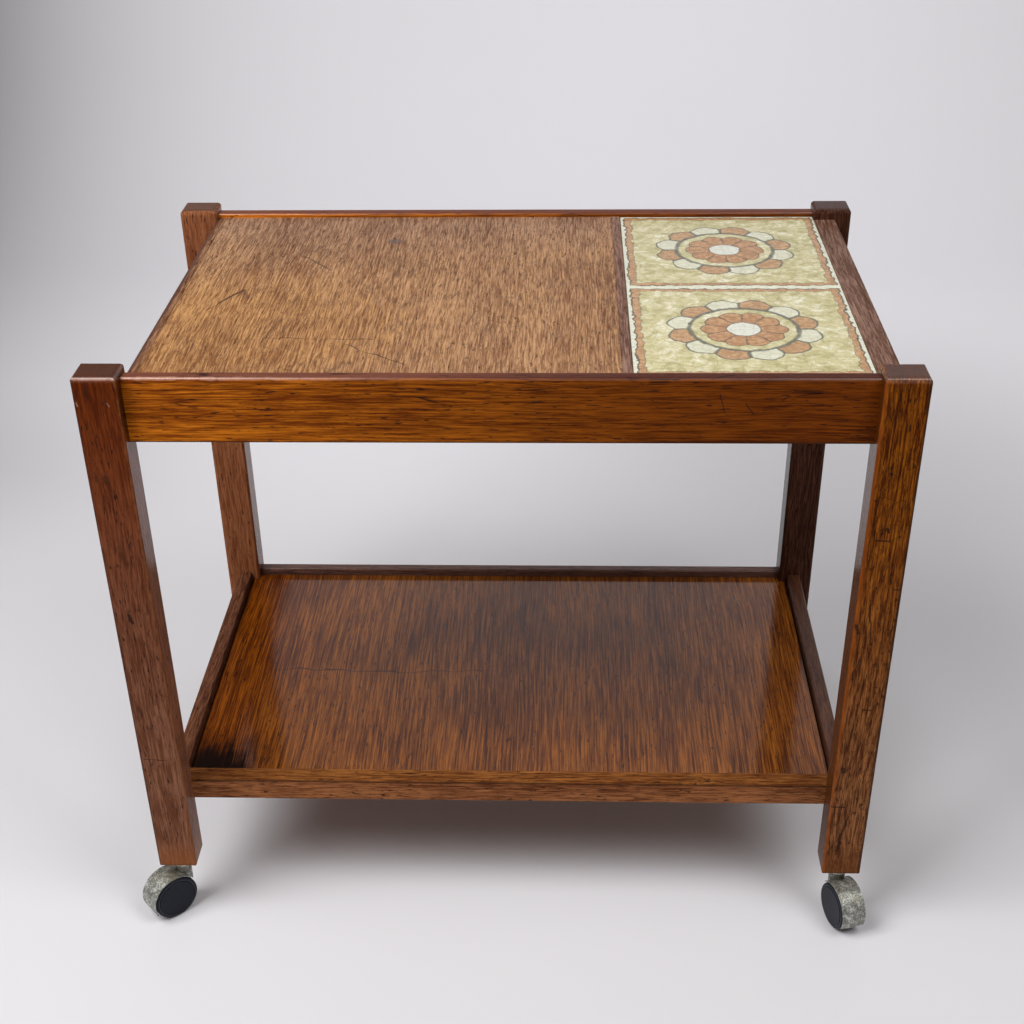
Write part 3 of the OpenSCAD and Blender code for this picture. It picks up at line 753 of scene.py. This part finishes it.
# the stain turns darker at the left end: a painted reflection of the dark back post
shelf = wood("veneer_shelf", "y", CHESTNUT, 9.7, turn=(0, -0.21, -0.29, LEFT_END_DARK_REFLECTION), spread=1.3,
             bands=0.15, dashes=0.75, gloss=0.3, relief=0.3, length=2.8, coat=shelf_coat,
             marks=shelf_marks)
dress(shelf, "shelf_panel")
print("stain round", [round(v, 3) for v in corner])

# %% [markdown]
# ## Plain wood
#
# What nobody sees was left bare: the board under the top, its cleats and blocks, and the
# ledgers and dowels of the shelf. It is pale softwood and plywood. A flat colour would do
# until someone turns the trolley over, so the same `wood` serves, with a light stain and
# hardly any pores.

# %% Plain wood under the top
plain = wood("wood_plain", "x", (0.42, 0.29, 0.16), 11.0,
             spread=0.6, dashes=0.15, pores=0.2, gloss=0.6)
dress(plain, "base_board", "front_cleat", "back_cleat", "middle_bearer", "corner_blocks",
      "shelf_ledgers", "shelf_dowels")

# %% [markdown]
# ## The glazed tiles
#
# A handmade tile has a mottled glaze, a border and a painted ornament, with lines that
# tremble because a brush made them. It could be painted in an image. Here it is drawn from
# distances instead: the border from the distance to the tile's edge, and the rosette, a
# common ornament, from the radius and the angle round the middle. A little noise added to
# the place before anything is drawn makes every line tremble alike.
#
# All lengths on a tile are in millimetres, measured from its middle.

# %% Colours of the glaze, and a brush line
TREMBLE, TREMBLES_PER_METRE, FLAKES_PER_METRE = 4.5, 110, 120
EARTH, EARTH_LIGHT = (0.39, 0.185, 0.068), (0.55, 0.30, 0.13)
CREAM, EYE_CREAM = (0.70, 0.70, 0.56), (0.72, 0.72, 0.62)
GREEN_GREY, INK = (0.075, 0.085, 0.060), (0.045, 0.030, 0.018)
CRACKLE_BROWN = (0.22, 0.19, 0.09)
FIELD = [(0.32, (0.41, 0.36, 0.15)), (0.45, (0.55, 0.495, 0.245)),
         (0.56, (0.65, 0.59, 0.34)), (0.68, (0.79, 0.75, 0.56))]


def line(finish, value, at, half_width):
    """A brush line where value passes at."""
    return 1 - ease(finish, abs(value - at), half_width * 0.5, half_width * 1.3)


print("glaze from", FIELD[0][1], "to", FIELD[-1][1])

# %% [markdown]
# The field is a yellow-green glaze that ran thick and thin. One noise could make it, but
# crackled glaze also changes from flake to flake. So a noise gives the brush's clouds, and
# the cells of a Voronoi texture set each flake off from its neighbours a little. The border
# is a band of red earth between a cream rim and the field, edged with ink.

# %% Glaze the field and the border
def field(finish):
    """The mottled ground, and the clouds that it is made from."""
    scaled = vector_math(finish, "MULTIPLY", finish.place, (90, 100, 90))
    brush = noise(finish, scaled, 1, detail=5, roughness=0.62, distortion=0.6)
    flakes = finish.node("ShaderNodeTexVoronoi", {"feature": "F1"},
                         {"Vector": finish.place, "Scale": FLAKES_PER_METRE}, out="Color")
    tone = brush + (split(finish, flakes)[0] - 0.5) * 0.16
    return finish.node("ShaderNodeValToRGB", {"stops": FIELD}, {0: tone}), brush


def border(finish, colour, inward, earth):
    """A cream rim and a band of earth. inward is the distance from the tile's edge."""
    rim = 1 - ease(finish, inward, 3.6, 4.4)
    band = ease(finish, inward, 4.0, 4.8) * (1 - ease(finish, inward, 9.5, 11.0))
    colour = blend(finish, rim, colour, CREAM)
    colour = blend(finish, band * 0.92, colour, earth)
    colour = blend(finish, line(finish, inward, 4.3, 0.9) * 0.85, colour, INK)
    return blend(finish, line(finish, inward, 10.5, 0.5) * 0.6, colour, INK)


print("flakes of glaze:", FLAKES_PER_METRE, "to the metre")

# %% [markdown]
# The rosette has a pale eye, a flower of ten petals, a green ring, and twelve outer
# petals that are red earth and cream by turns. Each petal could be a shape of its own. Here
# a petal's round end is a cosine or a sine of so many times the angle, added to the radius,
# so one line draws all the petals of a ring.

# %% Paint the rosette
EYE_R, RING_R, FLOWER_R, OUTER_R = 15, 47.5, 34, 60


def rosette(finish, colour, x, y, earth, wash):
    radius = (x * x + y * y).math("SQRT")
    angle = y.math("ARCTAN2", x)
    ten, twelve = abs((angle * 5).math("COSINE")), (angle * 6).math("SINE")
    flower_edge = FLOWER_R + ten * 4
    outer_edge = OUTER_R + abs(twelve) * 8
    # the twelve outer petals, their ring and their outlines
    ring = (ease(finish, radius, RING_R - 0.5, RING_R + 0.5)
            * (1 - ease(finish, radius - outer_edge, -0.5, 0.5)))
    red_turn = ease(finish, twelve, -0.05, 0.05)
    outline = line(finish, radius - outer_edge, 0, 1.1)
    colour = blend(finish, ring * red_turn * 0.9, colour, earth)
    colour = blend(finish, ring * (1 - red_turn) * 0.75, colour, CREAM)
    band = line(finish, radius, RING_R, 2.2) * (wash * 0.7 + 0.5)
    colour = blend(finish, band, colour, GREEN_GREY)
    colour = blend(finish, outline * 0.85, colour, GREEN_GREY)
    colour = blend(finish, ring * line(finish, twelve, 0, 0.18) * 0.85, colour, GREEN_GREY)
    # the flower of ten petals
    flower = ((1 - ease(finish, radius - flower_edge, -0.5, 0.5))
              * ease(finish, radius, EYE_R - 0.5, EYE_R + 0.5))
    colour = blend(finish, flower, colour, earth)
    colour = blend(finish, flower * line(finish, ten, 0, 0.20) * 0.6, colour, INK)
    colour = blend(finish, line(finish, radius - flower_edge, 0, 0.6) * 0.8, colour, INK)
    # the eye
    eye_share = 1 - ease(finish, radius, EYE_R - 0.5, EYE_R + 0.5)
    colour = blend(finish, eye_share, colour, EYE_CREAM)
    return blend(finish, line(finish, radius, EYE_R, 0.7) * 0.8, colour, INK)


print("rosette:", 2 * OUTER_R, "mm across, without the ends of its petals")

# %% [markdown]
# One function puts the tile together, so both tiles are the same ornament on different
# clouds of glaze. The crackle comes last, because it goes through everything. Glaze is
# glassy, so its shine is a full one, and only its unevenness varies.

# %% Glaze the tiles
def tile_glaze(name, node):
    finish = Finish(name, Specular_IOR_Level=0.5)
    low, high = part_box(node)
    half = (high.x - low.x) * 500
    flat = vector_math(finish, "SUBTRACT", finish.place, (low + high) / 2)
    x, y, _ = split(finish, vector_math(finish, "MULTIPLY", flat, (1000, 1000, 1000)))
    elsewhere = vector_math(finish, "ADD", finish.place, (3, 5, 0))
    tremble_x, tremble_y = ((noise(finish, at, TREMBLES_PER_METRE, detail=2) - 0.5) * TREMBLE
                            for at in (finish.place, elsewhere))
    wash = noise(finish, finish.place, 220, detail=3)
    earth = blend(finish, ease(finish, wash, 0.4, 0.65), EARTH, EARTH_LIGHT)
    colour, brush = field(finish)
    inward = half - abs(x + tremble_x * 2).math("MAXIMUM", abs(y + tremble_y * 2))
    colour = border(finish, colour, inward, earth)
    colour = rosette(finish, colour, x + tremble_x, y + tremble_y, earth, wash)
    crackle = finish.node("ShaderNodeTexVoronoi", {"feature": "DISTANCE_TO_EDGE"},
                          {"Vector": finish.place, "Scale": FLAKES_PER_METRE}, out="Distance")
    crackle = 1 - ease(finish, crackle, 0.0, 0.05)
    colour = blend(finish, crackle * 0.3, colour, CRACKLE_BROWN)
    return finish.wear(Base_Color=colour, Roughness=brush * 0.25 + 0.12,
                       Normal=bump(finish, brush * 0.7 - crackle * 0.2, 0.0012, 0.5))


for node in ("tile_back", "tile_front"):
    dress(tile_glaze("glaze_" + node, node), node)

# %% [markdown]
# The tiles lie in cement, which shows as a dark, gritty line round each of them. Its grains
# could be scattered pieces, but the line is under a millimetre wide. So it is one fine
# noise for colour, roughness and relief.

# %% The cement in the joints
bed = Finish("cement")
grit = noise(bed, bed.place, 900, detail=3)
dress(bed.wear(Base_Color=blend(bed, grit, (0.030, 0.022, 0.016), (0.10, 0.08, 0.06)),
               Roughness=grit * 0.2 + 0.7, Normal=bump(bed, grit, 0.0003)), "tile_bed")

# %% [markdown]
# ## Galvanised sheet
#
# The casters' hoods are galvanised sheet: zinc that has crystallised in small flakes, gone dull
# and yellowish with age, and painted darker near the post, as the shade under its foot. The
# flakes could be the cells of a Voronoi texture, but on old sheet their edges have blurred, so
# they are two noises, a fine and a coarse one. Bare zinc would be fully metallic. This has a grey
# skin of oxide, so it is metallic only in part.

# %% Galvanise the hoods
ZINC = [(0.36, (0.070, 0.070, 0.060)), (0.5, (0.22, 0.225, 0.200)), (0.62, (0.54, 0.55, 0.51))]
YELLOWED, FOOT_SHADE = (0.30, 0.25, 0.15), (0.10, 0.075, 0.045)
zinc = Finish("galvanised", Metallic=0.4)
fine = noise(zinc, zinc.place, 720, detail=2, roughness=0.6)
zinc_tone = fine * 0.6 + noise(zinc, zinc.place, 160, detail=2) * 0.4
zinc_colour = zinc.node("ShaderNodeValToRGB", {"stops": ZINC}, {0: zinc_tone})
aged = ease(zinc, noise(zinc, zinc.place, 70, detail=2), 0.5, 0.7)
zinc_colour = blend(zinc, aged * 0.3, zinc_colour, YELLOWED)
# painted shade: the hood's upper part, under the post's foot, turned darker
near_post = ease(zinc, split(zinc, zinc.place)[2], 0.040, 0.056)
zinc_colour = blend(zinc, near_post * 0.5, zinc_colour, FOOT_SHADE)
dress(zinc.wear(Base_Color=zinc_colour, Roughness=zinc_tone * 0.35 + 0.24,
                Normal=bump(zinc, zinc_tone, 0.0005, 0.5)),
      *[n for n in parts if n.startswith("hood_")])

# %% [markdown]
# ## Turned steel
#
# The stems, the flanges, the axles and the wood screws are plain steel, a little specked.
# The marks of the lathe could be fine rings round each part, but they are finer than the
# eye can tell from here. One noise between a dull and a bright grey is enough.

# %% Turned steel
steel = Finish("steel", Metallic=0.8)
speck = noise(steel, steel.place, 500)
dress(steel.wear(Base_Color=blend(steel, speck, (0.28, 0.30, 0.24), (0.66, 0.68, 0.60)),
                 Roughness=speck * 0.3 + 0.25),
      *[n for n in parts if n.startswith(("socket_", "stem_", "axle_")) or n.endswith("_screws")])

# %% [markdown]
# ## Moulded wheels
#
# The wheels are black moulded plastic, nearly the same in tyre and cap. The cap's edge shows a
# fine pale ring, which is a painted highlight. It could be a small bevel that catches the light
# by itself, but here it is a mask. It lies a fixed way from the wheel's own middle, so each wheel
# needs a finish of its own. Since the finish is fixed to the wheel, the ring turns with it.

# %% Mould the wheels
HIGHLIGHT_RING_R = 21.2


def wheel_black(node):
    finish = Finish("moulded_" + node, Specular_IOR_Level=0.15)
    low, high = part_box(node)
    speck = noise(finish, finish.place, 700)
    colour = blend(finish, speck, (0.004, 0.005, 0.010), (0.011, 0.013, 0.022))
    reach = vector_math(finish, "DISTANCE", finish.place, (low + high) / 2, out="Value")
    # painted highlight: a pale ring round the cap's edge
    ring = line(finish, reach * 1000, HIGHLIGHT_RING_R, 0.25)
    colour = blend(finish, ring * 0.6, colour, (0.10, 0.12, 0.14))
    return finish.wear(Base_Color=colour, Roughness=speck * 0.2 + 0.26,
                       Normal=bump(finish, speck, 0.0001, 0.4))


for node in (n for n in parts if n.startswith("wheel_")):
    dress(wheel_black(node), node)

# %% [markdown]
# ## The paper
#
# The sweep's paper is nearly white. It is painted darker towards its far left, where the light
# falls off, and a little grey in two broad patches behind the trolley, which are painted shadow.
# The lamps could be turned to shade it so, but they would then shade the trolley too.

# %% Colour the paper
BLACK = (0.0, 0.0, 0.0)
SHADE_PATCHES = (((0.45, 0.80, 0), (0.75, 0.70, 1), 0.26), ((-0.85, 0.75, 0), (0.5, 0.35, 1), 0.09))
WALL_Y, SLANT, DARK_FROM, DARK_OVER, DARKEST = 2.3, 0.15, 0.35, 1.05, 0.6
paper = Finish("paper", Specular_IOR_Level=0.1, Roughness=0.9)
paper_x, paper_y, _ = split(paper, paper.place)
# painted shade: the paper darkens towards the far left, as the light falls off
to_left = (paper_x * -1 + (WALL_Y - paper_y) * SLANT - DARK_FROM) / DARK_OVER
to_left = to_left.math("MAXIMUM", 0.0)
to_left = to_left * to_left * to_left * ease(paper, paper_y, 0.1, 0.8)
mottle = noise(paper, paper.place, 3, detail=2)
colour = blend(paper, mottle, (0.755, 0.745, 0.775), (0.770, 0.760, 0.79))
# painted shadow: two grey patches behind the trolley
for middle, radii, depth in SHADE_PATCHES:
    away = vector_math(paper, "SUBTRACT", paper.place, middle)
    reach = vector_math(paper, "LENGTH", vector_math(paper, "DIVIDE", away, radii), out="Value")
    colour = blend(paper, (1 - ease(paper, reach, 0.0, 1.0)) * depth, colour, BLACK)
colour = blend(paper, (to_left * DARKEST).math("MINIMUM", DARKEST), colour, BLACK)
sweep.data.materials.append(paper.wear(Base_Color=colour))
print("paper patches:", len(SHADE_PATCHES))

# %% [markdown]
# ## The room
#
# The light of the room is even and weak, so that no side stays black. It would look dark
# wherever the sheet of paper ends. A pale tent all round would add light, so its paleness
# is given only to what the camera sees and to what shines back from lacquer, glaze and
# metal.

# %% Pale to the eye, weak as a light
ROOM_LIGHT, ROOM_PALENESS = 0.12, 0.55


class Room(Finish):
    """The world's nodes, written in the same way as a finish."""

    def __init__(self, tree):
        self.tree = tree


world = bpy.data.worlds.new("studio")
world.use_nodes = True
bpy.context.scene.world = world
backdrop = world.node_tree.nodes["Background"]
backdrop.inputs["Color"].default_value = (1.0, 0.95, 0.91, 1)
room = Room(world.node_tree)
seen = sum(room.node("ShaderNodeLightPath", out=ray)
           for ray in ("Is Camera Ray", "Is Glossy Ray", "Is Transmission Ray"))
strength = seen.math("MINIMUM", 1.0) * ROOM_PALENESS + ROOM_LIGHT
room.tree.links.new(strength.socket, backdrop.inputs["Strength"])
print("room light:", ROOM_LIGHT, "seen as:", ROOM_LIGHT + ROOM_PALENESS)
